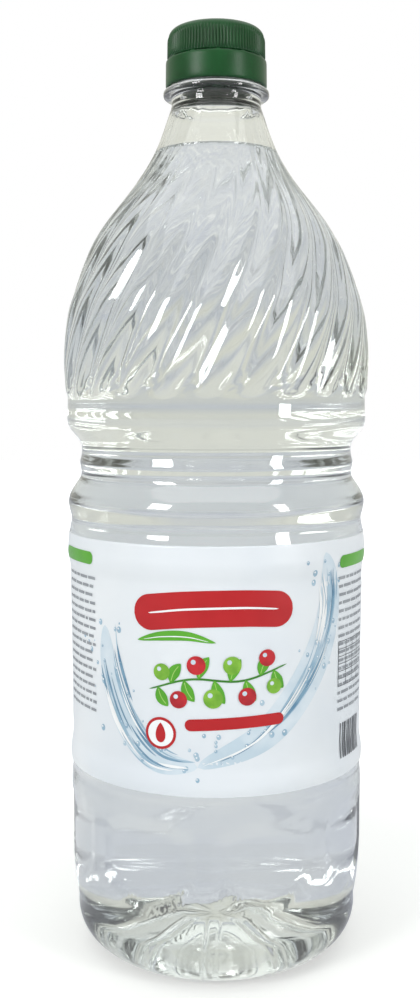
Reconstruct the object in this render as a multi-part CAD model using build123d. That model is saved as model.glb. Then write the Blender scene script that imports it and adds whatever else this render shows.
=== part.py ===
from build123d import *
from math import cos, pi, radians, sin, sqrt
import os

# Two-litre clear vinegar bottle: blown PET body with a spiral-fluted shoulder, a wrap label,
# the vinegar inside and a ribbed screw cap standing on its tamper band.
# Millimetres. Origin at the centre of the standing ring, +Z up, front of the label towards -Y.

# ---- driving dimensions ----
WALL = 0.5                # blown wall
FOOT_OUT = 38.0           # standing ring, outer and inner radius
FOOT_IN = 33.5
HEEL_MID = (45.9, 4.1)    # a point on the rounded heel
HEEL_TOP = 16.0           # height where the heel meets the side
BARREL_R = 51.4           # plain lower barrel
SHOULDER_Z = 190.0        # foot of the fluted shoulder
SHOULDER_R = 51.15
NECK_Z = 288.0            # top of the fluted shoulder
NECK_R = 15.6
FLUTES = 24
FLUTE_DEPTH = 1.9
TWIST_PER_MM = 0.58       # degrees the flutes turn for each millimetre of height
FLUTE_PHASE = -92.0       # heading of one crest at its rounded lower end
FLUTE_END = 196.0
RIM_Z = 312.2             # rim of the neck, under the cap
THROAT_R = 15.0           # below the support ring
FINISH_R = 14.2           # above the support ring
BORE_R = 12.6
RING_R = 17.8             # support ring below the tamper band
RING_LOW = 292.6
RING_HIGH = 295.0
LEVEL_Z = 274.6           # vinegar level
LABEL_LOW = 67.5
LABEL_HIGH = 147.5
FILM = 0.3
CAP_TOP = 314.5
CAP_R = 16.5
CAP_ROOT_R = 16.1
CAP_BORE_R = 14.6
CAP_ROUND = 3.2           # rounded edge of the top
CAP_RIBS = 96
RIB_LOW = 305.2
BAND_R = 17.0
BAND_LOW = 295.7
BAND_HIGH = 304.7
PANELS = 8                # shallow panels above the heel, one between each pair of base straps
PANEL_DEPTH = 0.7
PANEL_HALF = 16.5
PANEL_BOTTOM = 28.5
PANEL_TOP = 57.5
PANEL_PHASE = -139.0      # heading of one ridge between two panels
PUSH_UP = 13.0            # height of the base dome
HUB_R = 9.0
STRAP_WIDE = 3.0
STRAP_RISE = 0.9

# Barrel from the heel to the shoulder, as (height, radius): lower barrel, lower label lip,
# label recess, upper lip, ring groove, round hoop, waist with its bead, upper band.
BARREL = [
    (HEEL_TOP, 49.6),
    (24.0, 50.75),
    (34.0, BARREL_R),
    (50.0, 51.45),
    (62.0, BARREL_R),
    (65.0, 51.15),
    (67.5, 51.45),
    (70.0, 51.6),
    (72.5, 51.35),
    (75.5, 50.85),
    (84.0, 50.8),
    (128.0, 50.95),
    (136.0, 51.0),
    (138.5, 51.5),
    (141.0, 51.75),
    (144.0, 51.5),
    (148.5, 51.0),
    (152.0, 50.35),
    (155.0, 51.0),
    (157.8, 51.35),
    (160.8, 50.5),
    (163.6, 48.75),
    (166.4, 47.0),
    (168.0, 46.85),
    (170.8, 47.3),
    (173.4, 46.7),
    (175.5, 46.5),
    (177.6, 46.9),
    (180.3, 48.7),
    (183.0, 50.75),
    (186.0, 51.4),
    (SHOULDER_Z, SHOULDER_R),
]

# Crest line of the shoulder, as (height, radius).
SHOULDER = [
    (SHOULDER_Z, SHOULDER_R),
    (194.0, 51.7),
    (198.0, 52.3),
    (203.0, 52.5),
    (210.0, 52.1),
    (216.0, 51.4),
    (223.0, 50.3),
    (230.0, 47.9),
    (237.0, 45.2),
    (244.0, 42.1),
    (251.0, 37.7),
    (258.0, 32.2),
    (265.0, 26.7),
    (272.0, 22.2),
    (280.0, 18.5),
    (NECK_Z, NECK_R),
]


def slope_at(points, i):
    """Change of radius with height at one point, taken as upright at the two ends."""
    if i == 0 or i == len(points) - 1:
        return 0.0
    low = points[i - 1]
    high = points[i + 1]
    return (high[1] - low[1]) / (high[0] - low[0])


def inward(points, wall):
    """Shift a (height, radius) line inwards by one wall, square to the line."""
    moved = []
    for i, (height, radius) in enumerate(points):
        slope = slope_at(points, i)
        length = sqrt(1 + slope * slope)
        moved.append((height + wall * slope / length, radius - wall / length))
    return moved


def flute_heading(height):
    """Heading in degrees of one crest at a height."""
    return FLUTE_PHASE + TWIST_PER_MM * (height - FLUTE_END)


def turned(edges, heading=0.0):
    """Solid of revolution of a closed outline in the X-Z plane, its seam at a heading."""
    return revolve(Face(Wire(edges)), Axis.Z, 360).solid().rotate(Axis.Z, heading)


def closed_outline(corners):
    """Straight edges round a list of (radius, height) corners."""
    edges = []
    for i, corner in enumerate(corners):
        after = corners[(i + 1) % len(corners)]
        edges.append(Line(Vector(corner[0], 0, corner[1]), Vector(after[0], 0, after[1])))
    return edges


# ---- round lower body: heel, barrel, panels and base ----
def round_body(wall):
    """Heel and barrel up to the shoulder plane, wall millimetres inside the outer face."""
    line = inward(BARREL, wall)
    points = [Vector(radius, 0, height) for height, radius in line]
    foot = Vector(FOOT_OUT - 0.4 * wall, 0, wall)
    middle = Vector(HEEL_MID[0] - 0.75 * wall, 0, HEEL_MID[1] + 0.65 * wall)
    edges = [
        Line(Vector(0, 0, wall), foot),
        ThreePointArc(foot, middle, points[0]),
        Spline(*points),
        Line(points[-1], Vector(0, 0, SHOULDER_Z)),
        Line(Vector(0, 0, SHOULDER_Z), Vector(0, 0, wall)),
    ]
    return turned(edges, flute_heading(SHOULDER_Z))


def panel_tools(wall):
    """The shallow panels as cutters: arched top, rounded bottom, a face following the side."""
    half = PANEL_HALF + wall
    low = PANEL_BOTTOM - wall
    high = PANEL_TOP + wall
    plane = Plane(origin=(40, 0, 0), x_dir=(0, 1, 0), z_dir=(1, 0, 0))
    outline = [
        ThreePointArc((-half, low + 10), (0, low), (half, low + 10)),
        Line((half, low + 10), (half, high - 4.5)),
        ThreePointArc((half, high - 4.5), (0, high), (-half, high - 4.5)),
        Line((-half, high - 4.5), (-half, low + 10)),
    ]
    window = extrude(plane * Face(Wire(outline)), 20).solid()
    shape = window.cut(round_body(wall + PANEL_DEPTH)).solids().sort_by(Axis.X)[-1]
    first = PANEL_PHASE + 180.0 / PANELS
    return [shape.rotate(Axis.Z, first + 360.0 * k / PANELS) for k in range(PANELS)]


def base_dome(rise, rim):
    """Dome under the base, its rim on the standing ring."""
    return turned([
        Line(Vector(0, 0, 0), Vector(rim, 0, 0)),
        Line(Vector(rim, 0, 0), Vector(rim, 0, rise + 0.3)),
        ThreePointArc(
            Vector(rim, 0, rise + 0.3),
            Vector(0.62 * rim, 0, rise + 0.6 * PUSH_UP),
            Vector(HUB_R, 0, rise + PUSH_UP),
        ),
        Line(Vector(HUB_R, 0, rise + PUSH_UP), Vector(0, 0, rise + PUSH_UP)),
        Line(Vector(0, 0, rise + PUSH_UP), Vector(0, 0, 0)),
    ])


def push_up(wall):
    """The dome with its radial straps, raised by the wall for the inside."""
    rim = FOOT_IN + 0.5 * wall
    raised = base_dome(wall + STRAP_RISE, rim - 1.0)
    size = Vector(FOOT_IN, STRAP_WIDE + 2 * wall, 2 * PUSH_UP)
    slot = Solid.make_box(size.X, size.Y, size.Z, Plane(origin=(2, -size.Y / 2, 0)))
    strap = raised.intersect(slot).solid()
    tools = [base_dome(wall, rim)]
    for k in range(PANELS):
        tools.append(strap.rotate(Axis.Z, PANEL_PHASE + 360.0 * k / PANELS))
    return tools


def lower_body(wall):
    """The round body with its panels and the dome cut in, still solid."""
    body = round_body(wall)
    for tool in panel_tools(wall) + push_up(wall):
        body = body.cut(tool).solid()
    return body


# ---- fluted shoulder ----
def flute_depth(height):
    """Depth of the valleys between crests, fading out at both ends of the shoulder."""
    low = min((height - SHOULDER_Z) / 13.0, 1.0)
    high = min((NECK_Z - height) / 60.0, 1.0)
    return FLUTE_DEPTH * low * low * (3 - 2 * low) * high ** 0.7


def flute_section(height, radius, inset):
    """Closed outline across the shoulder: rounded crests with narrower valleys."""
    depth = flute_depth(height)
    steps = 8 * FLUTES
    points = []
    for i in range(steps):
        around = 2 * pi * i / steps
        dip = ((1 - cos(FLUTES * around)) / 2) ** 1.3
        r = radius - inset - depth * dip
        heading = around + radians(flute_heading(height))
        points.append(Vector(r * cos(heading), r * sin(heading), height))
    even = [i / steps for i in range(steps + 1)]
    return Wire([Edge.make_spline(points, periodic=True, parameters=even)])


def shoulder(wall):
    """The fluted shoulder between its two round ends, still solid."""
    sections = []
    for i, (height, radius) in enumerate(SHOULDER):
        slope = slope_at(SHOULDER, i)
        sections.append(flute_section(height, radius, wall * sqrt(1 + slope * slope)))
    return Solid.make_loft(sections, False)


# ---- neck finish, thicker than the blown body ----
def neck():
    """Neck wall from the shoulder plane to the rim, with the support ring."""
    edge = 0.5
    edges = [
        Spline(
            Vector(NECK_R, 0, NECK_Z),
            Vector(15.15, 0, NECK_Z + 1.6),
            Vector(THROAT_R, 0, RING_LOW - 1.0),
        ),
        Line(Vector(THROAT_R, 0, RING_LOW - 1.0), Vector(THROAT_R, 0, RING_LOW)),
        Line(Vector(THROAT_R, 0, RING_LOW), Vector(RING_R - edge, 0, RING_LOW)),
        ThreePointArc(
            Vector(RING_R - edge, 0, RING_LOW),
            Vector(RING_R, 0, (RING_LOW + RING_HIGH) / 2),
            Vector(RING_R - edge, 0, RING_HIGH),
        ),
        Line(Vector(RING_R - edge, 0, RING_HIGH), Vector(FINISH_R, 0, RING_HIGH)),
        Line(Vector(FINISH_R, 0, RING_HIGH), Vector(FINISH_R, 0, RIM_Z)),
        Line(Vector(FINISH_R, 0, RIM_Z), Vector(BORE_R, 0, RIM_Z)),
        Line(Vector(BORE_R, 0, RIM_Z), Vector(BORE_R, 0, RING_LOW)),
        Spline(
            Vector(BORE_R, 0, RING_LOW),
            Vector(13.4, 0, NECK_Z + 2.4),
            Vector(NECK_R - WALL, 0, NECK_Z),
        ),
        Line(Vector(NECK_R - WALL, 0, NECK_Z), Vector(NECK_R, 0, NECK_Z)),
    ]
    return turned(edges, flute_heading(NECK_Z))


def faces_off(solid, heights):
    """Faces of a solid without the flat joint faces lying at the given heights."""
    kept = []
    for face in solid.faces():
        box = face.bounding_box()
        flat = box.size.Z < 0.001
        joint = any(abs(box.center().Z - height) < 0.001 for height in heights)
        if not (flat and joint):
            kept.append(face)
    return kept


def closed_solid(faces):
    """One solid from faces that meet edge to edge all round."""
    solid = Solid(Shell(faces))
    return solid if solid.volume > 0 else Solid(-Shell(faces))


outer_low = lower_body(0)
inner_low = lower_body(WALL)
outer_top = shoulder(0)
inner_top = shoulder(WALL)

bottle = closed_solid(
    faces_off(outer_low, [SHOULDER_Z])
    + faces_off(outer_top, [SHOULDER_Z, NECK_Z])
    + faces_off(neck(), [NECK_Z])
    + faces_off(inner_top, [SHOULDER_Z, NECK_Z])
    + faces_off(inner_low, [SHOULDER_Z])
)

# ---- vinegar: everything inside the wall up to the level ----
wet_top = inner_top.split(Plane.XY.offset(LEVEL_Z), keep=Keep.BOTTOM)
vinegar = closed_solid(faces_off(inner_low, [SHOULDER_Z]) + faces_off(wet_top, [SHOULDER_Z]))

# ---- wrap label: film following the recess and riding over both lips ----
band = Solid.make_cylinder(60, LABEL_HIGH - LABEL_LOW, Plane.XY.offset(LABEL_LOW))
label = round_body(-FILM).intersect(band).solid().cut(round_body(0)).solid()


# ---- screw cap ----
def cap_shape():
    """Closed top with a rounded edge and a skirt of fine ribs, hollow over the neck."""
    edge_r = CAP_R - CAP_ROUND
    turn = CAP_ROUND * 0.7071
    dome = turned([
        Line(Vector(0, 0, BAND_HIGH), Vector(CAP_ROOT_R, 0, BAND_HIGH)),
        Line(Vector(CAP_ROOT_R, 0, BAND_HIGH), Vector(CAP_ROOT_R, 0, CAP_TOP - CAP_ROUND)),
        ThreePointArc(
            Vector(CAP_ROOT_R, 0, CAP_TOP - CAP_ROUND),
            Vector(edge_r + turn - 0.25, 0, CAP_TOP - CAP_ROUND + turn - 0.1),
            Vector(edge_r, 0, CAP_TOP),
        ),
        Line(Vector(edge_r, 0, CAP_TOP), Vector(0, 0, CAP_TOP)),
        Line(Vector(0, 0, CAP_TOP), Vector(0, 0, BAND_HIGH)),
    ])
    corners = []
    for i in range(4 * CAP_RIBS):
        heading = 2 * pi * (i + 0.5) / (4 * CAP_RIBS)
        radius = CAP_R if i % 4 < 2 else CAP_ROOT_R - 0.1
        corners.append((radius * cos(heading), radius * sin(heading)))
    ribs = extrude(Polygon(*corners, align=None), CAP_TOP - CAP_ROUND - RIB_LOW).solid()
    ribs = ribs.moved(Location((0, 0, RIB_LOW)))
    bore = Solid.make_cylinder(CAP_BORE_R, RIM_Z - BAND_HIGH, Plane.XY.offset(BAND_HIGH))
    return dome.fuse(ribs).solid().cut(bore).solid()


cap = cap_shape()

# ---- tamper band: smooth ring below the cap, resting just above the support ring ----
tamper_band = turned([
    Line(Vector(CAP_BORE_R, 0, BAND_LOW), Vector(BAND_R - 0.1, 0, BAND_LOW)),
    ThreePointArc(
        Vector(BAND_R - 0.1, 0, BAND_LOW),
        Vector(BAND_R, 0, BAND_LOW + 0.6),
        Vector(BAND_R, 0, BAND_LOW + 1.2),
    ),
    Line(Vector(BAND_R, 0, BAND_LOW + 1.2), Vector(BAND_R - 0.1, 0, BAND_HIGH)),
    Line(Vector(BAND_R - 0.1, 0, BAND_HIGH), Vector(CAP_BORE_R, 0, BAND_HIGH)),
    Line(Vector(CAP_BORE_R, 0, BAND_HIGH), Vector(CAP_BORE_R, 0, BAND_LOW)),
])

os.makedirs("parts", exist_ok=True)
export_step(bottle, "parts/bottle.step")
export_step(vinegar, "parts/vinegar.step")
export_step(label, "parts/label.step")
export_step(cap, "parts/cap.step")
export_step(tamper_band, "parts/tamper_band.step")
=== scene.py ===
import math

import bpy
import numpy as np
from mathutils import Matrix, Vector


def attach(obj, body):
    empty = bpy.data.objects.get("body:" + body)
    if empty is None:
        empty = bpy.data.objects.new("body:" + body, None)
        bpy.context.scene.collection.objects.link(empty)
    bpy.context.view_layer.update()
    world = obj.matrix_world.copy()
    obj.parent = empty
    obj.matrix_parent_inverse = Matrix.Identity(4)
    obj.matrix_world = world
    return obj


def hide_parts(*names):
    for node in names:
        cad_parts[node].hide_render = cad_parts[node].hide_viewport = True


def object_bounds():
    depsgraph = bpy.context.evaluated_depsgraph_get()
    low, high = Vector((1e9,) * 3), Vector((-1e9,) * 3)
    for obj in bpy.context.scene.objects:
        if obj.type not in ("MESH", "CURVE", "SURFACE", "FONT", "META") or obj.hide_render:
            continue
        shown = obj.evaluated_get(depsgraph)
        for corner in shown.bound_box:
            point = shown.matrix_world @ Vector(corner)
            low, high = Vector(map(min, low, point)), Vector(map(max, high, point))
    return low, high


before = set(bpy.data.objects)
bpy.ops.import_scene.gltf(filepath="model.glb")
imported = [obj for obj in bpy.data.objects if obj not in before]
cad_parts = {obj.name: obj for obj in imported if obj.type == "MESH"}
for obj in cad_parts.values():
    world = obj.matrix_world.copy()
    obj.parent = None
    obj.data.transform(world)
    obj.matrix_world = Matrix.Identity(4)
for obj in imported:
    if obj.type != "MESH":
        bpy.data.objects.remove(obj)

cad_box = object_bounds()
low = cad_box[0]


# ---- Studio ----
# A pale floor under a white background, with two window-like soft lamps in front, a wide lamp
# above and a grey room that only shows in gloss and through the clear parts.

MM = 0.001
WHITE = (1.0, 1.0, 1.0, 1.0)
EYE_DISTANCE = 0.402
EYE_HEIGHT = 0.1938
EYE_TILT = 7.0
LENS = 41.48
LENS_SHIFT = (-0.0063, 0.0373)
FLOOR_REACH = 3.0
FLOOR_GAP = 0.0002
SHADOW_REACH = 0.12
WHITE_REACH = 0.6
PATCH_MM = 200


def paint(code):
    """sRGB hex to a linear colour."""
    shares = [int(code[i:i + 2], 16) / 255 for i in (0, 2, 4)]
    line = [c / 12.92 if c <= 0.04045 else ((c + 0.055) / 1.055) ** 2.4 for c in shares]
    return (*line, 1.0)


def noise_scale(size):
    """Scale of a noise whose patches are a size in millimetres."""
    return 1 / (size * MM)


def add(tree, kind, settings=None, links=None):
    """Add one node, set its properties or sockets, and link what feeds it."""
    made = tree.nodes.new(kind)
    for key, value in (settings or {}).items():
        if isinstance(key, str) and hasattr(made, key):
            setattr(made, key, value)
        else:
            made.inputs[key].default_value = value
    for key, source in (links or {}).items():
        tree.links.new(source, made.inputs[key])
    return made


def ramp_stops(node, stops):
    """Give a colour ramp its stops, as (position, linear colour)."""
    line = node.color_ramp
    while len(line.elements) < len(stops):
        line.elements.new(0.5)
    for element, (position, colour) in zip(line.elements, stops):
        element.position = position
        element.color = colour


def blank_material(name):
    """A material with an empty node tree and its output node."""
    material = bpy.data.materials.new(name)
    material.use_nodes = True
    material.node_tree.nodes.clear()
    return material, material.node_tree, add(material.node_tree, "ShaderNodeOutputMaterial")


scene = bpy.context.scene
scene.view_settings.view_transform = "Standard"
scene.cycles.max_bounces = 24
scene.cycles.transmission_bounces = 24
scene.cycles.glossy_bounces = 6

# The room by height and from front to back, seen only in gloss and through the clear parts.
# Matt surfaces get a plain light, and the background is white.
world = bpy.data.worlds.new("room")
scene.world = world
world.use_nodes = True
sky = world.node_tree
sky.nodes.clear()
sky_way = add(sky, "ShaderNodeTexCoord")
sky_axes = add(sky, "ShaderNodeSeparateXYZ", links={0: sky_way.outputs["Generated"]})
height_share = add(sky, "ShaderNodeMapRange", {"From Min": -1.0, "From Max": 1.0},
                   {"Value": sky_axes.outputs["Z"]})
height_ramp = add(sky, "ShaderNodeValToRGB", links={0: height_share.outputs[0]})
ramp_stops(height_ramp, [
    (0.30, paint("c2c6d0")),
    (0.47, paint("c8ccd4")),
    (0.52, paint("e4e4db")),
    (0.70, paint("e6e6dc")),
    (0.95, paint("eeeeea")),
])
depth_share = add(sky, "ShaderNodeMapRange", {"From Min": -1.0, "From Max": 1.0},
                  {"Value": sky_axes.outputs["Y"]})
depth_ramp = add(sky, "ShaderNodeValToRGB", links={0: depth_share.outputs[0]})
ramp_stops(depth_ramp, [
    (0.0, paint("e2e3e1")),
    (0.30, paint("d4d5d2")),
    (0.50, paint("dbdcd9")),
    (0.72, paint("fafbfa")),
    (1.0, paint("ffffff")),
])
room = add(sky, "ShaderNodeMix", {"data_type": "RGBA", "blend_type": "MULTIPLY", 0: 1.0},
           {6: height_ramp.outputs[0], 7: depth_ramp.outputs[0]})
room_light = add(sky, "ShaderNodeBackground", {"Strength": 1.0}, {"Color": room.outputs[2]})
plain_light = add(sky, "ShaderNodeBackground", {"Color": paint("e9ebee"), "Strength": 0.52})
white_light = add(sky, "ShaderNodeBackground", {"Color": WHITE, "Strength": 1.0})
sky_ray = add(sky, "ShaderNodeLightPath")
for_diffuse = add(sky, "ShaderNodeMixShader", links={
    0: sky_ray.outputs["Is Diffuse Ray"], 1: room_light.outputs[0], 2: plain_light.outputs[0]})
for_camera = add(sky, "ShaderNodeMixShader", links={
    0: sky_ray.outputs["Is Camera Ray"], 1: for_diffuse.outputs[0], 2: white_light.outputs[0]})
add(sky, "ShaderNodeOutputWorld", links={0: for_camera.outputs[0]})


def matt_white_card():
    """Card that keeps the shadow near the bottle, fades to white far off, and looks cloudy
    blue-grey through the clear parts: there it is a painted glow in patches, standing in for a
    lit room."""
    material, tree, out = blank_material("matt_white_card")
    card = add(tree, "ShaderNodeBsdfDiffuse", {"Color": paint("dfe1dd")})
    place = add(tree, "ShaderNodeTexCoord")
    away = add(tree, "ShaderNodeVectorMath", {"operation": "LENGTH"},
               {0: place.outputs["Object"]})
    fade = add(tree, "ShaderNodeMapRange", {
        "From Min": SHADOW_REACH, "From Max": WHITE_REACH, "To Min": 0.42, "To Max": 1.0},
        {"Value": away.outputs["Value"]})
    glow = add(tree, "ShaderNodeEmission", {"Color": WHITE}, {"Strength": fade.outputs[0]})
    lifted = add(tree, "ShaderNodeAddShader", links={0: card.outputs[0], 1: glow.outputs[0]})
    # Painted glow seen only through the clear parts: blue-grey patches of emission over a dim
    # card, in place of a lit room.
    patches = add(tree, "ShaderNodeTexNoise", {"Scale": noise_scale(PATCH_MM), "Detail": 2.0},
                  {"Vector": place.outputs["Object"]})
    tint = add(tree, "ShaderNodeValToRGB", links={0: patches.outputs[0]})
    ramp_stops(tint, [
        (0.38, paint("c6c9d2")), (0.52, paint("d6d8da")), (0.66, paint("f2f2f0"))])
    haze = add(tree, "ShaderNodeEmission", {"Strength": 0.8}, {"Color": tint.outputs[0]})
    dim = add(tree, "ShaderNodeBsdfDiffuse", {"Color": paint("777a82")})
    painted_room_glow = add(tree, "ShaderNodeAddShader", links={0: dim.outputs[0], 1: haze.outputs[0]})
    ray = add(tree, "ShaderNodeLightPath")
    bounced = add(tree, "ShaderNodeMixShader", links={
        0: ray.outputs["Is Diffuse Ray"], 1: painted_room_glow.outputs[0], 2: card.outputs[0]})
    seen = add(tree, "ShaderNodeMixShader", links={
        0: ray.outputs["Is Camera Ray"], 1: bounced.outputs[0], 2: lifted.outputs[0]})
    tree.links.new(seen.outputs[0], out.inputs[0])
    return material


floor_mesh = bpy.data.meshes.new("floor")
floor_mesh.from_pydata(
    [(-FLOOR_REACH, -FLOOR_REACH, 0), (FLOOR_REACH, -FLOOR_REACH, 0),
     (FLOOR_REACH, FLOOR_REACH, 0), (-FLOOR_REACH, FLOOR_REACH, 0)],
    [], [(0, 1, 2, 3)])
floor_mesh.materials.append(matt_white_card())
floor = bpy.data.objects.new("floor", floor_mesh)
floor.location.z = low.z - FLOOR_GAP
scene.collection.objects.link(floor)


def soft_lamp(name, place, size, power, aim=(0, 0, 0.17)):
    """A rectangular soft lamp facing a point on the bottle."""
    data = bpy.data.lights.new(name, "AREA")
    data.shape = "RECTANGLE"
    data.size, data.size_y = size
    data.energy = power
    lamp = bpy.data.objects.new(name, data)
    lamp.location = place
    lamp.rotation_euler = (Vector(aim) - Vector(place)).to_track_quat("-Z", "Y").to_euler()
    scene.collection.objects.link(lamp)


soft_lamp("window_left", (-0.95, -0.95, 0.75), (0.42, 0.55), 8)
soft_lamp("window_right", (1.0, -0.8, 0.55), (0.22, 0.7), 5)
soft_lamp("ceiling", (0.0, -0.1, 1.5), (2.0, 2.0), 10)

camera = bpy.data.objects.new("camera", bpy.data.cameras.new("camera"))
camera.data.lens = LENS
camera.data.clip_start = 0.01
camera.data.shift_x, camera.data.shift_y = LENS_SHIFT
camera.location = (0, -EYE_DISTANCE, low.z + EYE_HEIGHT)
camera.rotation_euler = (math.radians(90 - EYE_TILT), 0, 0)
scene.collection.objects.link(camera)
scene.camera = camera


# ---- Bottle ----
# The clear bottle: PET, stretch blow-moulded from a preform, so its thin wall carries the
# spiral flutes, hoops and panels of the mould inside and out, and only the neck is thick.

COLUMNS = 216
WALL = 0.5
FOOT_OUT = 38.0
FOOT_IN = 33.5
HEEL_MID = (45.9, 4.1)
HEEL_TOP = (49.6, 16.0)
HUB_R = 9.0
PUSH_UP = 13.0
BASE_RADII = (3.0, 6.0, 8.6, 10, 12, 14.5, 17, 19.5, 22, 24.5, 27, 29, 31, 32.4, 33.2, 33.5)
STRAP_RISE = 0.6
STRAP_HALF = 2.4
STRAP_EDGE = 1.4
SHOULDER_Z = 190.0
NECK_Z = 288.0
BAND_TO_FLUTES = 51.15
RIPPLE_MM = 18.2

# Flutes, with the depth of their valleys and the share of it that is left near the neck.
FLUTES = 24
FLUTE_TWIST = 0.58
FLUTE_PHASE = -92.0
FLUTE_END = 196.0
FLUTE_DEPTH = 1.9
FLUTE_FAINT = 0.14
FAINT_FROM = 280.0
FAINT_RUN = 74.0
VALLEY_POWER = 1.9
ROUND_END_Z = 192.6
ROUND_END = 6.0
ROUND_END_EDGE = 2.6

# Shallow panels, with how far their ends arch and how wide their soft edges are.
PANELS = 8
PANEL_DEPTH = 0.7
PANEL_PHASE = -139.0
PANEL_HALF = 16.5
PANEL_LOW = 28.5
PANEL_HIGH = 57.5
LOW_ARCH = 10.0
HIGH_ARCH = 4.5
SIDE_EDGE = 1.8
LOW_EDGE = 2.2
HIGH_EDGE = 1.6

# Round profile as (height, radius) in millimetres: heel, lower barrel, label recess between
# its lips, groove, hoop, beaded waist, band, crest of the shoulder, foot of the neck.
PROFILE = [
    (16, 49.6), (24, 50.75), (34, 51.4), (50, 51.45), (62, 51.4), (65, 51.15), (67.5, 51.45),
    (70, 51.6), (72.5, 51.35), (75.5, 50.85), (84, 50.8), (128, 50.95), (136, 51.0),
    (138.5, 51.5), (141, 51.75), (144, 51.5), (148.5, 51.0), (152, 50.35), (155, 51.0),
    (157.8, 51.35), (160.8, 50.5), (163.6, 48.75), (166.4, 47.0), (168, 46.85),
    (170.8, 47.3), (173.4, 46.7), (175.5, 46.5), (177.6, 46.9), (180.3, 48.7),
    (183, 50.75), (186, 51.4), (190, 51.2), (193, 51.35), (196, 52.0), (200, 52.3), (205, 52.3),
    (210, 52.0), (216, 51.4), (223, 50.3), (230, 47.9), (237, 45.2), (244, 42.1), (251, 37.7),
    (258, 32.2), (265, 26.7), (272, 22.2), (280, 18.5), (288, 15.6),
]

# Rings up the side as (from, to, count), close together where the mould has detail.
WALL_RUNS = [(16, 62, 20), (62, 76, 14), (76, 136, 10), (136, 190, 54), (190, 201, 16),
             (201, 288, 58)]

# Support ring and finish, as (radius, height), then down the bore to the blown wall.
NECK = [
    (15.6, 288.0), (15.32, 288.7), (15.12, 289.6), (15.02, 290.8), (15.0, 292.2), (15.3, 292.5),
    (17.2, 292.62), (17.65, 292.9), (17.8, 293.5), (17.75, 294.3), (17.4, 294.8), (16.9, 294.95),
    (14.5, 295.0), (14.2, 295.3), (14.2, 304.0), (14.2, 311.6), (13.9, 312.1), (13.4, 312.15),
    (12.9, 312.1), (12.6, 311.7), (12.6, 303.0), (12.6, 292.0), (12.65, 290.6), (12.9, 289.6),
    (13.7, 288.8), (14.7, 288.3), (15.1, 288.0),
]


def along(stations, at):
    """Smooth curve through (height, radius) stations, read at any heights."""
    heights, radii = np.array(stations, float).T
    slopes = np.gradient(radii, heights)
    i = np.clip(np.searchsorted(heights, at) - 1, 0, len(heights) - 2)
    span = heights[i + 1] - heights[i]
    t = (at - heights[i]) / span
    start = (2 * t**3 - 3 * t**2 + 1) * radii[i] + (t**3 - 2 * t**2 + t) * span * slopes[i]
    end = (3 * t**2 - 2 * t**3) * radii[i + 1] + (t**3 - t**2) * span * slopes[i + 1]
    return start + end


def ease(value):
    """Smooth step from 0 to 1."""
    value = np.clip(value, 0, 1)
    return value * value * (3 - 2 * value)


def ring_headings(count):
    """Even headings round a ring, one of them in the valley between two flutes."""
    valley = FLUTE_PHASE - FLUTE_TWIST * (FLUTE_END - SHOULDER_Z) + 180 / FLUTES
    return np.arange(count) * 2 * math.pi / count + math.radians(valley % (360 / FLUTES))


def flute_turn(height):
    """Turn of the rings that keeps their corners on the flutes."""
    return math.radians(FLUTE_TWIST * max(0.0, height - SHOULDER_Z))


def ring(radius, height, headings, turn=0.0):
    """One ring for revolved: a radius and a height at each heading, and the ring's turn."""
    return radius + 0 * headings, height + 0 * headings, turn


def flute_place(heading, height):
    """Place across one flute, from -1 in a valley over 0 on the crest to 1."""
    turn = np.degrees(heading) - FLUTE_PHASE - FLUTE_TWIST * (height - FLUTE_END)
    share = turn * FLUTES / 360
    return 2 * (share - np.round(share))


def fluted(heading, height, crest):
    """Radius across the flutes, from the radius of their crests. Their lower ends are round."""
    across = flute_place(heading, height)
    depth = FLUTE_DEPTH * (
        FLUTE_FAINT + (1 - FLUTE_FAINT) * ease((FAINT_FROM - height) / FAINT_RUN))
    depth = depth * ease((NECK_Z + 0.5 - height) / 4)
    lobes = crest - depth * ((1 - np.cos(np.pi * across)) / 2) ** VALLEY_POWER
    round_end = ROUND_END_Z + ROUND_END * (1 - np.sqrt(np.clip(1 - across**2, 0, 1)))
    grown = ease((height - round_end) / ROUND_END_EDGE)
    return np.minimum(crest, BAND_TO_FLUTES) * (1 - grown) + lobes * grown


def panel_hollow(heading, height, radius):
    """How far the shallow panels lie inside the round side."""
    sector = (np.degrees(heading) - PANEL_PHASE) % (360 / PANELS) - 180 / PANELS
    sideways = np.abs(np.radians(sector) * radius)
    share = np.clip(sideways / PANEL_HALF, 0, 1)
    window = ease((PANEL_HALF - sideways) / SIDE_EDGE)
    window = window * ease((height - PANEL_LOW - LOW_ARCH * share**2) / LOW_EDGE)
    window = window * ease((PANEL_HIGH - HIGH_ARCH * share**2 - height) / HIGH_EDGE)
    return PANEL_DEPTH * window


def body_radius(heading, height):
    """Outer radius of the blown body at a heading and a height."""
    plain = along(PROFILE, height) + 0 * heading
    radius = np.where(height > SHOULDER_Z, fluted(heading, height, plain), plain)
    return radius - panel_hollow(heading, height, radius)


def circle_through(a, b, c):
    """Centre and radius of the circle through three points."""
    (ax, ay), (bx, by), (cx, cy) = a, b, c
    d = 2 * (ax * (by - cy) + bx * (cy - ay) + cx * (ay - by))
    sa, sb, sc = ax * ax + ay * ay, bx * bx + by * by, cx * cx + cy * cy
    x = (sa * (by - cy) + sb * (cy - ay) + sc * (ay - by)) / d
    y = (sa * (cx - bx) + sb * (ax - cx) + sc * (bx - ax)) / d
    return x, y, math.hypot(ax - x, ay - y)


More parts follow.
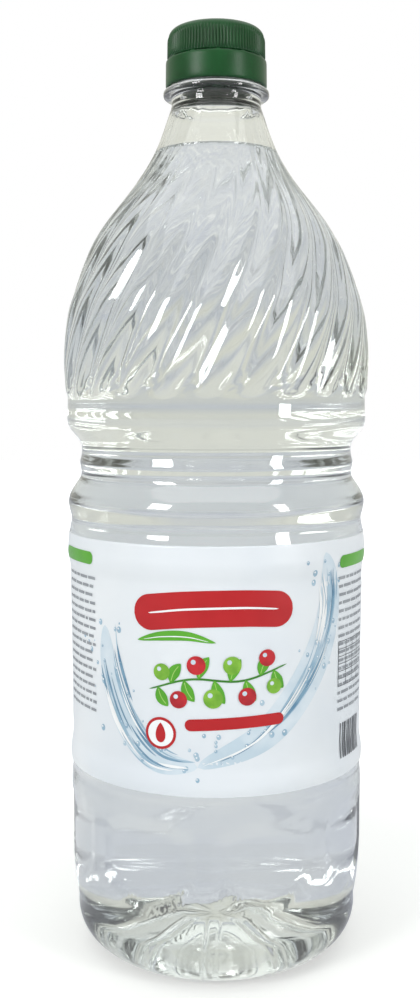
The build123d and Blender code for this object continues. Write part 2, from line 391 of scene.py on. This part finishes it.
def dome_rows(inset, headings):
    """Rings from the hub over the domed base with its radial straps to the standing ring."""
    rows = []
    strap = (np.degrees(headings) - PANEL_PHASE + 180 / PANELS) % (360 / PANELS) - 180 / PANELS
    for radius in BASE_RADII:
        share = np.clip((radius - HUB_R) / (FOOT_IN - HUB_R), 0, 1)
        lateral = np.abs(np.radians(strap)) * radius
        ends = ease((radius - 4) / 4) * ease((33 - radius) / 2)
        ridge = STRAP_RISE * ease((STRAP_HALF - lateral) / STRAP_EDGE) * ends
        height = PUSH_UP * (1 - share**1.25) + ridge + inset
        rows.append(ring(radius + inset * radius / FOOT_IN, height, headings))
    rows.append(ring(FOOT_IN + inset + 0.4, inset, headings))
    return rows


def heel_rows(inset, headings):
    """Rings round the heel, from the standing ring to the side."""
    x, y, size = circle_through((FOOT_OUT, 0), HEEL_MID, HEEL_TOP)
    first = math.atan2(-y, FOOT_OUT - x)
    last = math.atan2(HEEL_TOP[1] - y, HEEL_TOP[0] - x)
    rows = []
    for turn in np.linspace(first, last, 16)[:-1]:
        height = max(y + (size - inset) * math.sin(turn), inset)
        rows.append(ring(x + (size - inset) * math.cos(turn), height, headings))
    return rows


def side_rows(inset, headings, top):
    """Rings up the blown side to a height, inset from the outer face."""
    rows = []
    runs = [np.linspace(start, end, count, endpoint=False) for start, end, count in WALL_RUNS]
    for height in np.concatenate(runs):
        if height >= top:
            break
        near = np.array([height - 0.5, height + 0.5]).clip(HEEL_TOP[1], NECK_Z)
        below, above = along(PROFILE, near)
        turn = flute_turn(height)
        radius = body_radius(headings + turn, height + 0 * headings)
        rows.append(ring(radius - inset * math.hypot(1, above - below), height, headings, turn))
    return rows


def wall_rows(inset, headings, top):
    """Rings from the middle of the base up to a height."""
    rows = dome_rows(inset, headings) + heel_rows(inset, headings)
    return rows + side_rows(inset, headings, top)


def solid_piece(name, verts, faces):
    """A smooth-shaded object from corners and faces."""
    mesh = bpy.data.meshes.new(name)
    mesh.from_pydata([tuple(map(float, v)) for v in verts], [], faces)
    mesh.update()
    mesh.shade_smooth()
    piece = bpy.data.objects.new(name, mesh)
    scene.collection.objects.link(piece)
    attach(piece, "root")
    return piece


def revolved(name, rows, close_first=True, close_last=True):
    """Closed skin over rings, with a point in the middle of each end."""
    count = len(rows[0][0])
    verts = []
    for radii, heights, turn in rows:
        at = ring_headings(count) + turn
        verts += zip(radii * np.cos(at) * MM, radii * np.sin(at) * MM, heights * MM)
    faces = []
    for i in range(len(rows) - 1):
        for j in range(count):
            k = (j + 1) % count
            faces.append((i * count + j, i * count + k, (i + 1) * count + k, (i + 1) * count + j))
    ends = [(close_first, 0, True), (close_last, len(rows) - 1, False)]
    for closed, row, flip in ends:
        if not closed:
            continue
        middle = len(verts)
        verts.append((0.0, 0.0, float(np.mean(rows[row][1])) * MM))
        for j in range(count):
            a, b = row * count + j, row * count + (j + 1) % count
            faces.append((middle, b, a) if flip else (middle, a, b))
    return solid_piece(name, verts, faces)


headings = ring_headings(COLUMNS)
neck_turn = flute_turn(NECK_Z)
neck_rows = [ring(radius, height, headings, neck_turn) for radius, height in NECK]
outside = wall_rows(0, headings, NECK_Z)
inside = wall_rows(WALL, headings, NECK_Z)
bottle = revolved("bottle_shell", outside + neck_rows + inside[::-1])
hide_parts("bottle")


def blown_clear_pet():
    """Blown PET: glass-clear and glossy from the polished mould, with slow ripples and a trace
    of haze where the wall stretched unevenly."""
    material, tree, out = blank_material("blown_clear_pet")
    place = add(tree, "ShaderNodeTexCoord")
    ripple = add(tree, "ShaderNodeTexNoise", {
        "Scale": noise_scale(RIPPLE_MM), "Detail": 2.0, "Roughness": 0.45},
        {"Vector": place.outputs["Object"]})
    bump = add(tree, "ShaderNodeBump", {"Strength": 0.35, "Distance": 0.0006},
               {"Height": ripple.outputs[0]})
    haze = add(tree, "ShaderNodeMapRange", {"To Min": 0.0, "To Max": 0.035},
               {"Value": ripple.outputs[0]})
    skin = add(tree, "ShaderNodeBsdfPrincipled", {
        "Base Color": paint("fbfcfb"), "IOR": 1.57, "Transmission Weight": 1.0,
    }, {"Roughness": haze.outputs[0], "Normal": bump.outputs[0]})
    tree.links.new(skin.outputs[0], out.inputs[0])
    return material


bottle.data.materials.append(blown_clear_pet())


# ---- Vinegar ----
# White spirit vinegar filled to the shoulder: clear and thin like water. It reaches a little
# way into the wall, so that no air shows between the two.

LEVEL_Z = 274.6
INTO_WALL = 0.14
LEVEL_SLANT = 1.17
MENISCUS = 0.7
MENISCUS_SHARE = 0.14
STREAK_MM = 45.5

soaked = WALL - INTO_WALL
wet_rows = wall_rows(soaked, headings, LEVEL_Z - 0.4)
level_turn = flute_turn(LEVEL_Z)
wall_at_level = body_radius(headings + level_turn, LEVEL_Z + 0 * headings)
edge_radius = wall_at_level - soaked * LEVEL_SLANT
for share in (1, 0.985, 0.96, 0.92, 0.86, 0.7, 0.4):
    dip = MENISCUS * ease(np.array((1 - share) / MENISCUS_SHARE))
    wet_rows.append(ring(edge_radius * share, LEVEL_Z - dip, headings, level_turn))
vinegar = revolved("vinegar_fill", wet_rows)
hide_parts("vinegar")


def clear_vinegar():
    """Water with five per cent acid: bends light as water does, with a faint cool grey in
    slow streaks."""
    material, tree, out = blank_material("clear_vinegar")
    place = add(tree, "ShaderNodeTexCoord")
    streaks = add(tree, "ShaderNodeTexNoise", {"Scale": noise_scale(STREAK_MM), "Detail": 1.0},
                  {"Vector": place.outputs["Object"]})
    tint = add(tree, "ShaderNodeValToRGB", links={0: streaks.outputs[0]})
    ramp_stops(tint, [(0.35, paint("f1f3f4")), (0.65, paint("f8f9f8"))])
    body = add(tree, "ShaderNodeBsdfPrincipled", {
        "IOR": 1.34, "Transmission Weight": 1.0, "Roughness": 0.0,
    }, {"Base Color": tint.outputs[0]})
    tree.links.new(body.outputs[0], out.inputs[0])
    return material


vinegar.data.materials.append(clear_vinegar())


# ---- Label ----
# A wrap of printed white polypropylene film, glued in the recess and pulled over both lips.
# Its print is plain fields and simple shapes in gravure inks.

LABEL_LOW = 67.5
LABEL_HIGH = 147.5
LABEL_R = 51.0
FILM_IN = 0.04
FILM_OUT = 0.16
INK_STEP = 0.03
FRONT = -math.pi / 2
PRINT_ROUGH = 0.32
PRINT_GRAIN_MM = 1.11
GLUE_MM = 16.7


def film_radius(height):
    """Outer radius of the bottle under the label."""
    return along(PROFILE, height)


label_heights = np.concatenate([
    np.linspace(LABEL_LOW, 77, 16, endpoint=False), np.linspace(77, 135, 20, endpoint=False),
    np.linspace(135, LABEL_HIGH, 20)])
outer = [ring(film_radius(z) + FILM_OUT, z, headings) for z in label_heights]
inner = [ring(film_radius(z) + FILM_IN, z, headings) for z in label_heights[::-1]]
film = revolved("wrap_film", outer + inner + outer[:1], False, False)
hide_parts("label")


def satin_print(name, first, second, cloud_mm):
    """Gravure ink on gloss film: slightly uneven colour under a soft sheen."""
    material, tree, out = blank_material(name)
    place = add(tree, "ShaderNodeTexCoord")
    cloud = add(tree, "ShaderNodeTexNoise", {"Scale": noise_scale(cloud_mm), "Detail": 3.0},
                {"Vector": place.outputs["Object"]})
    tint = add(tree, "ShaderNodeValToRGB", links={0: cloud.outputs[0]})
    ramp_stops(tint, [(0.35, paint(first)), (0.65, paint(second))])
    grain = add(tree, "ShaderNodeTexNoise", {
        "Scale": noise_scale(PRINT_GRAIN_MM), "Detail": 1.0},
        {"Vector": place.outputs["Object"]})
    bump = add(tree, "ShaderNodeBump", {"Strength": 0.08, "Distance": 0.0001},
               {"Height": grain.outputs[0]})
    sheen = add(tree, "ShaderNodeMapRange", {
        "To Min": PRINT_ROUGH - 0.05, "To Max": PRINT_ROUGH + 0.08},
        {"Value": grain.outputs[0]})
    ink = add(tree, "ShaderNodeBsdfPrincipled", {"IOR": 1.5}, {
        "Base Color": tint.outputs[0], "Roughness": sheen.outputs[0], "Normal": bump.outputs[0]})
    tree.links.new(ink.outputs[0], out.inputs[0])
    return material


def film_reverse():
    """The film's unprinted reverse, seen through the vinegar. Thin white film lets light soak
    through; that light is painted on here as a faint glow."""
    material, tree, out = blank_material("film_reverse")
    place = add(tree, "ShaderNodeTexCoord")
    glue = add(tree, "ShaderNodeTexNoise", {"Scale": noise_scale(GLUE_MM), "Detail": 3.0},
               {"Vector": place.outputs["Object"]})
    tint = add(tree, "ShaderNodeValToRGB", links={0: glue.outputs[0]})
    ramp_stops(tint, [(0.35, paint("d9dce0")), (0.65, paint("e6e9ea"))])
    # The emission is painted light: a glow standing in for light soaking through the film.
    back = add(tree, "ShaderNodeBsdfPrincipled", {
        "Roughness": 0.5, "Emission Color": paint("dfe2e8"), "Emission Strength": 0.72},
        {"Base Color": tint.outputs[0]})
    tree.links.new(back.outputs[0], out.inputs[0])
    return material


film.data.materials.append(satin_print("white_polypropylene_film", "e2e8ee", "edf1f4", 62.5))
film.data.materials.append(film_reverse())
reverse_first = len(outer) * COLUMNS
reverse_last = reverse_first + (len(inner) - 1) * COLUMNS
for face in film.data.polygons:
    if reverse_first <= face.index < reverse_last:
        face.material_index = 1


def printed(name, strips, ink, layer):
    """Ink shapes laid on the film. A strip is (left, right) rows of (sideways, height)."""
    verts, faces = [], []
    lift = FILM_OUT + INK_STEP * layer
    for left, right, across in strips:
        start = len(verts)
        for a, b in zip(left, right):
            for share in np.linspace(0, 1, across + 1):
                s = a[0] + (b[0] - a[0]) * share
                z = a[1] + (b[1] - a[1]) * share
                radius = float(film_radius(np.array(z))) + lift
                heading = FRONT + s / LABEL_R
                verts.append((radius * math.cos(heading) * MM,
                              radius * math.sin(heading) * MM, z * MM))
        width = across + 1
        for i in range(len(left) - 1):
            for j in range(across):
                k = start + i * width + j
                faces.append((k, k + 1, k + width + 1, k + width))
    piece = solid_piece(name, verts, faces)
    piece.data.materials.append(ink)
    return piece


def stroke(path, widths, across=2):
    """A strip along a path of (sideways, height), with a width at each point."""
    path = np.array(path, float)
    run = np.gradient(path, axis=0)
    run /= np.maximum(np.linalg.norm(run, axis=1, keepdims=True), 1e-9)
    side = np.stack([run[:, 1], -run[:, 0]], axis=1) * np.array(widths)[:, None] / 2
    return [tuple(p) for p in path - side], [tuple(p) for p in path + side], across


def disc(s, z, radius, tall=1.0):
    """A round or oval spot."""
    around = np.linspace(0, math.pi, 19)
    path = [(s, z - radius * tall * math.cos(t)) for t in around]
    return stroke(path, [2 * radius * math.sin(t) for t in around], 4)


def bar(s0, s1, z, tall):
    """A flat bar from one side to the other."""
    path = [(s, z) for s in np.linspace(s0, s1, max(3, int(abs(s1 - s0) / 1.5)))]
    return stroke(path, [tall] * len(path), 1)


def curve(points, count=40):
    """A smooth path through a few points."""
    steps = np.linspace(0, 1, len(points))
    at = np.linspace(0, 1, count)
    sideways, up = (along(list(zip(steps, line)), at) for line in np.array(points, float).T)
    return list(zip(sideways.tolist(), up.tolist()))


def pill(points, width):
    """A stroke of even width with round ends."""
    last = 199
    fine = curve(points, last + 1)
    shares = (1 - np.cos(np.linspace(0, math.pi, 48))) / 2
    path = [fine[int(round(float(share) * last))] for share in shares]
    steps = np.linalg.norm(np.diff(np.array(path), axis=0), axis=1)
    walked = np.concatenate([[0], np.cumsum(steps)])
    near = np.minimum(walked, walked[-1] - walked) / (width / 2)
    return stroke(path, width * np.sqrt(1 - (1 - np.clip(near, 0, 1)) ** 2), 4)


def swell(count, power=1.0):
    """Widths that rise and fall along a stroke."""
    return np.sin(np.linspace(0, math.pi, count)) ** power


water_pale = satin_print("pale_blue_ink", "c4d6e2", "dbe6ee", 11.1)
water_mid = satin_print("water_blue_ink", "8fb1c8", "b6cddc", 7.14)
water_deep = satin_print("deep_water_ink", "5f8aa9", "7fa4bd", 5.56)
red_ink = satin_print("red_ink", "b50d15", "bf141b", 16.7)
green_ink = satin_print("leaf_green_ink", "4fa01f", "5fb02c", 14.3)
dark_green = satin_print("dark_green_ink", "2f7a1c", "3f8c22", 11.1)
pale_green = satin_print("pale_green_ink", "9ccc5c", "b0d878", 11.1)
berry_green = satin_print("berry_green_ink", "8cc23e", "69a52b", 4.55)
berry_red = satin_print("berry_red_ink", "c8202a", "a81722", 4.55)
grey_ink = satin_print("grey_ink", "8b9096", "9ea3a8", 11.1)
dark_ink = satin_print("dark_grey_ink", "4a4e54", "5a5e64", 11.1)
white_ink = satin_print("white_ink", "f2f5f7", "fafbfb", 16.7)

rng = np.random.default_rng(11)

# Two broad sweeps of water cross the label, with streaks in them and a spray of drops.
SWEEP_STEPS = 60
sweep_right = curve([(38, 144), (41, 128), (34, 108), (17, 88), (-6, 77)], SWEEP_STEPS)
sweep_left = curve([(-6, 77), (-20, 79), (-31, 90), (-38, 106), (-40, 120)], SWEEP_STEPS)
pale = [stroke(sweep_right, 12 * swell(SWEEP_STEPS, 0.5), 4),
        stroke(sweep_left, 10 * swell(SWEEP_STEPS, 0.5), 4)]
mid, deep, shine = [], [], []
for line in (sweep_right, sweep_left):
    for _ in range(34):
        first = int(rng.uniform(2, 38))
        last = min(SWEEP_STEPS - 2, first + int(rng.uniform(10, 24)))
        off = rng.uniform(-6.4, 6.4)
        path = [(s + off * 0.8, z + off * 0.5) for s, z in line[first:last]]
        group = (mid, deep, shine)[int(rng.choice([0, 0, 1, 2]))]
        group.append(stroke(path, rng.uniform(0.3, 1.3) * swell(len(path), 0.8), 1))
    for _ in range(44):
        s, z = line[int(rng.uniform(0, SWEEP_STEPS - 1))]
        s, z = s + rng.normal(0, 6), z + rng.normal(0, 5)
        size = rng.uniform(0.25, 0.95)
        if LABEL_LOW + 4 < z < LABEL_HIGH - 4:
            mid.append(disc(s, z, size, 1.2))
            shine.append(disc(s - size * 0.3, z + size * 0.4, size * 0.35))
printed("water_sweep", pale, water_pale, 1)
printed("water_streaks", mid, water_mid, 2)
printed("water_shadows", deep, water_deep, 3)
printed("water_glints", shine, white_ink, 4)

# A plain red banner stands where a name would be, over a green leaf.
banner = pill([(-27, 125.5), (-10, 127.5), (8, 128), (25, 127)], 11.5)
thin = curve([(-22, 126), (-9, 127.7), (8, 128.2), (20, 127.4)])
leaf = curve([(-26, 117.0), (-18, 118.8), (-9, 119.2), (0, 117.2)], 30)
vein = curve([(-24, 117.4), (-17, 118.7), (-9, 118.9), (-2, 117.5)], 30)
printed("red_banner", [banner], red_ink, 5)
printed("banner_line", [stroke(thin, 0.7 * swell(40, 0.2), 1)], white_ink, 6)
printed("green_leaf", [stroke(leaf, 3.2 * swell(30, 0.7), 2)], green_ink, 5)
printed("leaf_vein", [stroke(vein, 0.35 * swell(30, 0.5), 1)], white_ink, 6)

# A sprig under it: pointed leaves on a stalk, with round berries in green and red between.
LEAVES = 9
stalk = curve([(-22, 101.5), (-8, 105.5), (8, 105), (23, 109.5)])
printed("sprig_stalk", [stroke(stalk, 0.7 * swell(40, 0.2), 1)], dark_green, 5)
leaves, veins = [], []
for k in range(LEAVES):
    s, z = stalk[3 + 4 * k]
    side = 1 if k % 2 else -1
    rise = side * (7.5 - 0.35 * abs(k - LEAVES // 2))
    blade = curve([(s, z), (s + 1.2, z + rise * 0.55), (s + 3.4, z + rise)], 20)
    leaves.append(stroke(blade, 3.8 * swell(20, 0.8), 2))
    veins.append(stroke(blade[2:17], [0.25] * 15, 1))
printed("sprig_leaves", leaves, green_ink, 6)
printed("sprig_veins", veins, pale_green, 7)

# Berries as (sideways, height, radius).
GREEN_BERRIES = [(-17.5, 107.4, 2.7), (-1.0, 99.4, 3.1), (5.0, 110.0, 2.9), (18.6, 102.8, 2.5)]
RED_BERRIES = [(-12.0, 98.8, 2.8), (-6.3, 110.0, 3.0), (9.8, 99.9, 2.9), (16.2, 112.0, 2.7)]
cheeks = [disc(s - r * 0.3, z + r * 0.35, r * 0.26) for s, z, r in GREEN_BERRIES + RED_BERRIES]
printed("green_berries", [disc(*berry) for berry in GREEN_BERRIES], berry_green, 8)
printed("red_berries", [disc(*berry) for berry in RED_BERRIES], berry_red, 8)
printed("berry_cheeks", cheeks, water_pale, 9)

# A short red stripe beside a red-edged round mark with a drop, near the foot.
MARK_S = -18.0
MARK_Z = 87.5
drop_rise = (1 - np.cos(np.linspace(0, math.pi, 24))) / 2
drop = [(MARK_S, MARK_Z - 3.0 + 6.4 * share) for share in drop_rise]
drop_width = 8.0 * np.sqrt(drop_rise) * (1 - drop_rise) ** 0.8
printed("red_stripe", [pill([(-10, 90.6), (5, 91.4), (22, 92.2)], 3.8)], red_ink, 5)
printed("round_mark", [disc(MARK_S, MARK_Z, 5.2)], red_ink, 5)
printed("round_mark_field", [disc(MARK_S, MARK_Z, 4.3)], white_ink, 6)
printed("round_mark_drop", [stroke(drop, drop_width, 2)], red_ink, 7)

# Side panels: green tabs, then rows of small grey bars in place of words, and a ruled grid.
TEXT_PANELS = [(-67.0, -45.0), (46.0, 67.0)]
TEXT_TOP = 134.5
TEXT_STEP = 2.75
TEXT_ROWS = 17
GRID_TOP = 113.3
GRID_STEP = 2.5
tabs = [pill([(-68, 141.2), (-56, 141.2), (-45, 141.2)], 4.2),
        pill([(45, 140), (56, 140), (68, 140)], 4.2)]
printed("green_tabs", tabs, green_ink, 5)
words = []
for start, end in TEXT_PANELS:
    for row in range(TEXT_ROWS):
        z = TEXT_TOP - TEXT_STEP * row
        at = start
        while at < end - 1.5:
            size = min(rng.uniform(1.4, 5.2), end - at)
            words.append(bar(at, at + size, z + rng.uniform(-0.05, 0.05), 0.95))
            at += size + 0.8
grid = [bar(46, 66, GRID_TOP - GRID_STEP * row, 0.22) for row in range(7)]
grid += [bar(46 + 5 * k, 46.25 + 5 * k, 105.8, 15.2) for k in range(5)]
printed("text_bars", words, grey_ink, 5)
printed("ruled_grid", grid, dark_ink, 6)

# A block of upright stripes of many widths, as on any packed food.
stripes, s = [], 48.0
while s < 64.0:
    size = rng.choice([0.35, 0.6, 0.9])
    stripes.append(stroke([(s, 73.5), (s, 79.5), (s, 85.5)], [size] * 3, 1))
    s += size + rng.choice([0.4, 0.7, 1.0])
printed("stripe_block", stripes, dark_ink, 5)


# ---- Screw cap ----
# One green cap of injection-moulded HDPE: a closed top with a rounded edge and fine upright
# ribs for grip. It only rests on the neck.

CAP_R = 16.45
CAP_ROOT = 15.95
CAP_BORE = 14.65
CAP_DRAFT = 0.02
CAP_FOOT = 305
EDGE_R = 13.0
EDGE_Z = 311.65
EDGE_WIDE = 2.95
EDGE_TALL = 2.8
FADING_RIB = 0.03
RIBS = 96
PER_RIB = 6
SCUFF_MM = 0.667

# From the middle of the underside out and down the bore, as (radius, height). Then up the
# grip, as (height, share of the rib), and in over the slightly sunk top.
CAP_INSIDE = [
    (2.0, 312.24), (8.0, 312.24), (14.2, 312.24), (CAP_BORE, 311.8), (CAP_BORE, 308),
    (CAP_BORE, 305.2), (CAP_BORE + 0.25, 304.72),
]
CAP_GRIP = [
    (304.7, 0), (305.1, 0), (305.3, 0.5), (305.6, 1), (307, 1), (309, 1), (310.6, 1),
    (311.3, 0.8), (311.8, 0.35),
]
CAP_TOP = [
    (12.6, 314.46), (11.8, 314.42), (11.4, 314.3), (11.0, 314.26), (7.0, 314.24),
    (3.0, 314.24), (1.2, 314.24), (0.9, 314.1),
]

rib_turns = np.arange(RIBS * PER_RIB) * 2 * math.pi / (RIBS * PER_RIB)
rib = ease((np.cos(rib_turns * RIBS) + 0.55) / 0.9)
cap_rows = [ring(radius, height, rib_turns) for radius, height in CAP_INSIDE]
for height, grip in CAP_GRIP:
    radius = CAP_ROOT + (CAP_R - CAP_ROOT) * grip * rib - CAP_DRAFT * (height - CAP_FOOT)
    cap_rows.append(ring(radius, height, rib_turns))
for angle in np.radians(np.linspace(14, 86, 9)):
    radius = EDGE_R + (EDGE_WIDE + FADING_RIB * rib) * math.cos(angle)
    cap_rows.append(ring(radius, EDGE_Z + EDGE_TALL * math.sin(angle), rib_turns))
cap_rows += [ring(radius, height, rib_turns) for radius, height in CAP_TOP]
cap = revolved("ribbed_cap", cap_rows)
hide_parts("cap")


def moulded_green(name, flow_mm):
    """HDPE in a deep green: soft sheen, with faint flow marks and tiny scuffs."""
    material, tree, out = blank_material(name)
    place = add(tree, "ShaderNodeTexCoord")
    flow = add(tree, "ShaderNodeTexNoise", {"Scale": noise_scale(flow_mm), "Detail": 4.0},
               {"Vector": place.outputs["Object"]})
    tint = add(tree, "ShaderNodeValToRGB", links={0: flow.outputs[0]})
    ramp_stops(tint, [(0.3, paint("063a16")), (0.7, paint("0c4a20"))])
    grain = add(tree, "ShaderNodeTexNoise", {"Scale": noise_scale(SCUFF_MM), "Detail": 2.0},
                {"Vector": place.outputs["Object"]})
    bump = add(tree, "ShaderNodeBump", {"Strength": 0.15, "Distance": 0.0001},
               {"Height": grain.outputs[0]})
    sheen = add(tree, "ShaderNodeMapRange", {"To Min": 0.26, "To Max": 0.44},
                {"Value": flow.outputs[0]})
    skin = add(tree, "ShaderNodeBsdfPrincipled", {"IOR": 1.54, "Specular IOR Level": 0.3}, {
        "Base Color": tint.outputs[0], "Roughness": sheen.outputs[0],
        "Normal": bump.outputs[0]})
    tree.links.new(skin.outputs[0], out.inputs[0])
    return material


cap.data.materials.append(moulded_green("moulded_hdpe_cap", 6.25))


# ---- Tamper band ----
# The smooth ring moulded with the cap and joined to it by thin bridges. It sits just above
# the neck's support ring and breaks free when the cap is first turned.

BRIDGES = 12
BAND_COLUMNS = 240
BAND_EDGE_Z = 304.25
GAP_Z = 304.3

# Down the inside and up the outside, as (radius, height).
BAND_SIDES = [
    (14.65, 303.9), (14.65, 300), (14.65, 296.1), (14.9, 295.75), (16.5, 295.72),
    (16.85, 295.9), (16.98, 296.4), (16.98, 298), (16.95, 300), (16.92, 302), (16.9, 303.5),
    (16.82, 304.05),
]

band_turns = np.arange(BAND_COLUMNS) * 2 * math.pi / BAND_COLUMNS
bridge = ease((np.cos(band_turns * BRIDGES) - 0.75) / 0.2)
band_rows = [ring(radius, height, band_turns) for radius, height in BAND_SIDES]
band_rows.append(ring(16.55 - 0.1 * bridge, BAND_EDGE_Z + 0.3 * bridge, band_turns))
band_rows += [ring(radius, GAP_Z + 0.38 * bridge, band_turns) for radius in (15.6, 14.8)]
band_rows.append(band_rows[0])
tamper_band = revolved("tamper_band_ring", band_rows, False, False)
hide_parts("tamper_band")
tamper_band.data.materials.append(moulded_green("moulded_hdpe_band", 11.1))
